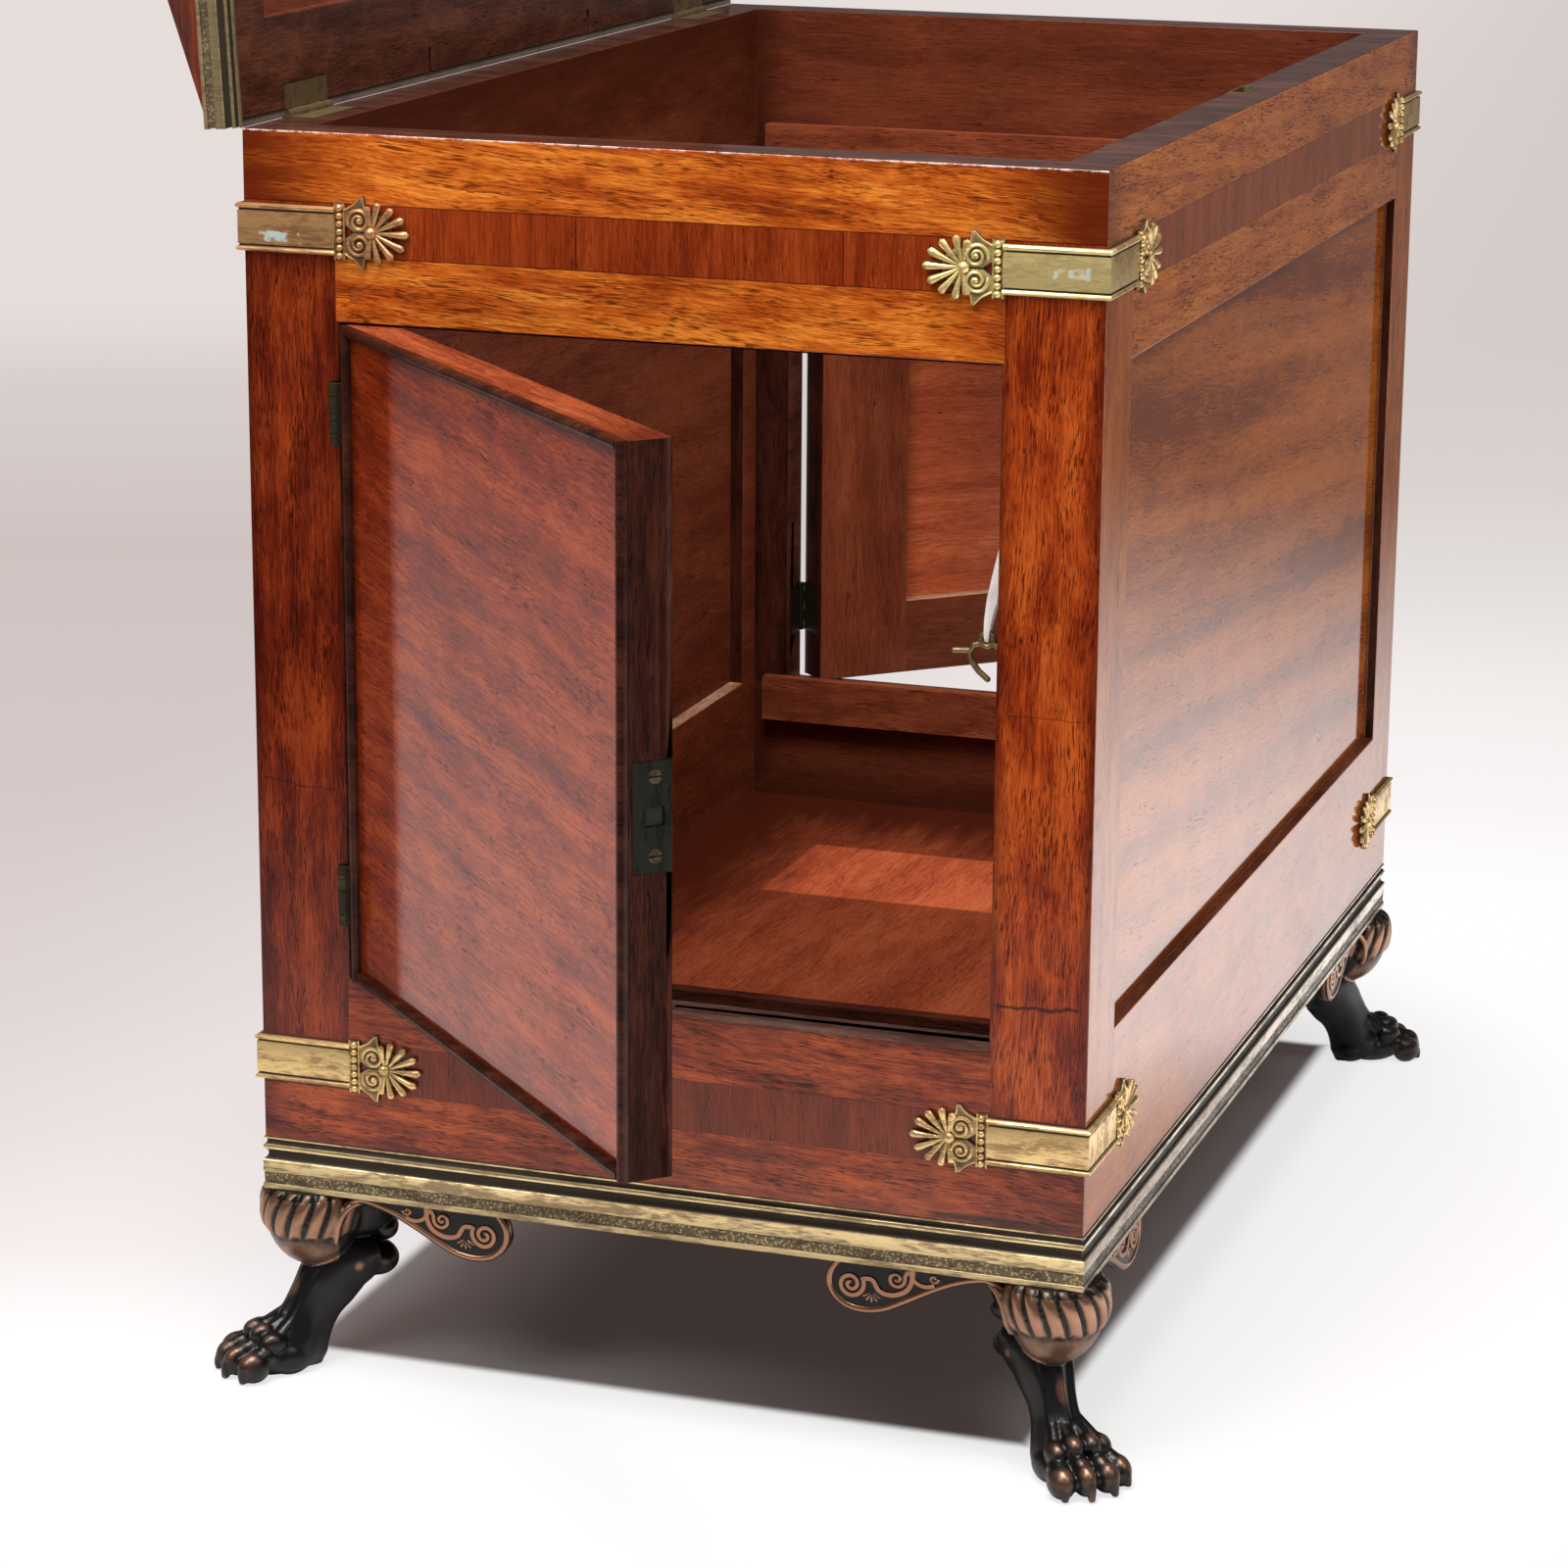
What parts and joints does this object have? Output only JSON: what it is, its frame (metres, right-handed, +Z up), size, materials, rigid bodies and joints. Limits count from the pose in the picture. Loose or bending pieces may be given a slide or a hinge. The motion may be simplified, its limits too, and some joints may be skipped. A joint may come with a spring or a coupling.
{
  "type": "cellarette",
  "caption": "Rectangular mahogany wine cellarette with a hinged hipped lid, a panelled door in each short end, brass corner mounts and lion-paw feet.",
  "frame": {"origin": "on the floor, midway between the four paw feet", "axes": "+X across the front door from its hinge side to its lock side, +Y from the front door to the back door, +Z up"},
  "size_m": [0.5293, 1.0995, 1.0065],
  "materials": {
    "mahogany": "polished, figured veneer",
    "mahogany_inside": "worn satin",
    "brass": "aged, lightly tarnished",
    "patinated_bronze": "dark patina, rubbed to copper on the cups",
    "bronze_scrolls": "dark patina",
    "steel": "dulled",
    "ribbon": "satin weave"
  },
  "bodies": {
    "case": {"back_bottom_rail": "mahogany", "back_stop_battens": "mahogany_inside", "back_top_rail": "mahogany", "base_frame": "mahogany_inside", "base_moulding": "brass", "bottom_board": "mahogany_inside", "door_hinge_pins": "brass", "door_hinges_case_side": "brass", "foot_screws": "steel", "front_bottom_rail": "mahogany", "front_stop_battens": "mahogany_inside", "front_top_rail": "mahogany", "key": "brass", "key_ribbon": "ribbon", "key_tack": "brass", "left_bottom_rail": "mahogany", "left_panel": "mahogany", "left_top_rail": "mahogany", "lid_hinge_pins": "brass", "lid_hinges_case_side": "brass", "lid_lock": "brass", "lower_corner_mounts": "brass", "paw_foot_back_left": "patinated_bronze", "paw_foot_back_right": "patinated_bronze", "paw_foot_front_left": "patinated_bronze", "paw_foot_front_right": "patinated_bronze", "post_back_left": "mahogany", "post_back_right": "mahogany", "post_front_left": "mahogany", "post_front_right": "mahogany", "right_bottom_rail": "mahogany", "right_panel": "mahogany", "right_top_rail": "mahogany", "scroll_brackets": "bronze_scrolls", "strike_plates": "brass", "upper_corner_mounts": "brass"},
    "front_door": {"front_door_beads": "mahogany", "front_door_frame": "mahogany", "front_door_hinges": "brass", "front_door_lock": "brass", "front_door_lock_screws": "steel", "front_door_panel": "mahogany"},
    "front_bolt": {"front_door_bolt": "brass"},
    "back_door": {"back_door_beads": "mahogany", "back_door_frame": "mahogany", "back_door_hinges": "brass", "back_door_lock": "brass", "back_door_lock_screws": "steel", "back_door_panel": "mahogany"},
    "back_bolt": {"back_door_bolt": "brass"},
    "lid": {"lid_frame": "mahogany_inside", "lid_panel": "mahogany_inside", "lid_top": "mahogany", "lid_moulding": "brass", "lid_hinges_lid_side": "brass", "lid_staple": "brass"},
    "lid_bolt": {"lid_lock_bolt": "brass"}
  },
  "joints": [
    {"name": "lid_hinge", "type": "hinge", "parent": "case", "child": "lid", "pos_m": [-0.203, 0, 0.6004], "axis": [0, 1, 0], "range_deg": [0, 93.1]},
    {"name": "front_door_hinge", "type": "hinge", "parent": "case", "child": "front_door", "pos_m": [-0.1585, -0.3315, 0.3575], "axis": [0, 0, 1], "range_deg": [-120, 45]},
    {"name": "back_door_hinge", "type": "hinge", "parent": "case", "child": "back_door", "pos_m": [-0.1585, 0.3315, 0.3575], "axis": [0, 0, 1], "range_deg": [-44, 120]},
    {"name": "front_bolt_slide", "type": "slide", "parent": "front_door", "child": "front_bolt", "axis": [0.7071, -0.7071, 0], "range_m": [0, 0.008]},
    {"name": "back_bolt_slide", "type": "slide", "parent": "back_door", "child": "back_bolt", "axis": [0.7193, 0.6947, 0], "range_m": [0, 0.008]},
    {"name": "lid_bolt_slide", "type": "slide", "parent": "case", "child": "lid_bolt", "axis": [0, 1, 0], "range_m": [0, 0.006]}
  ]
}
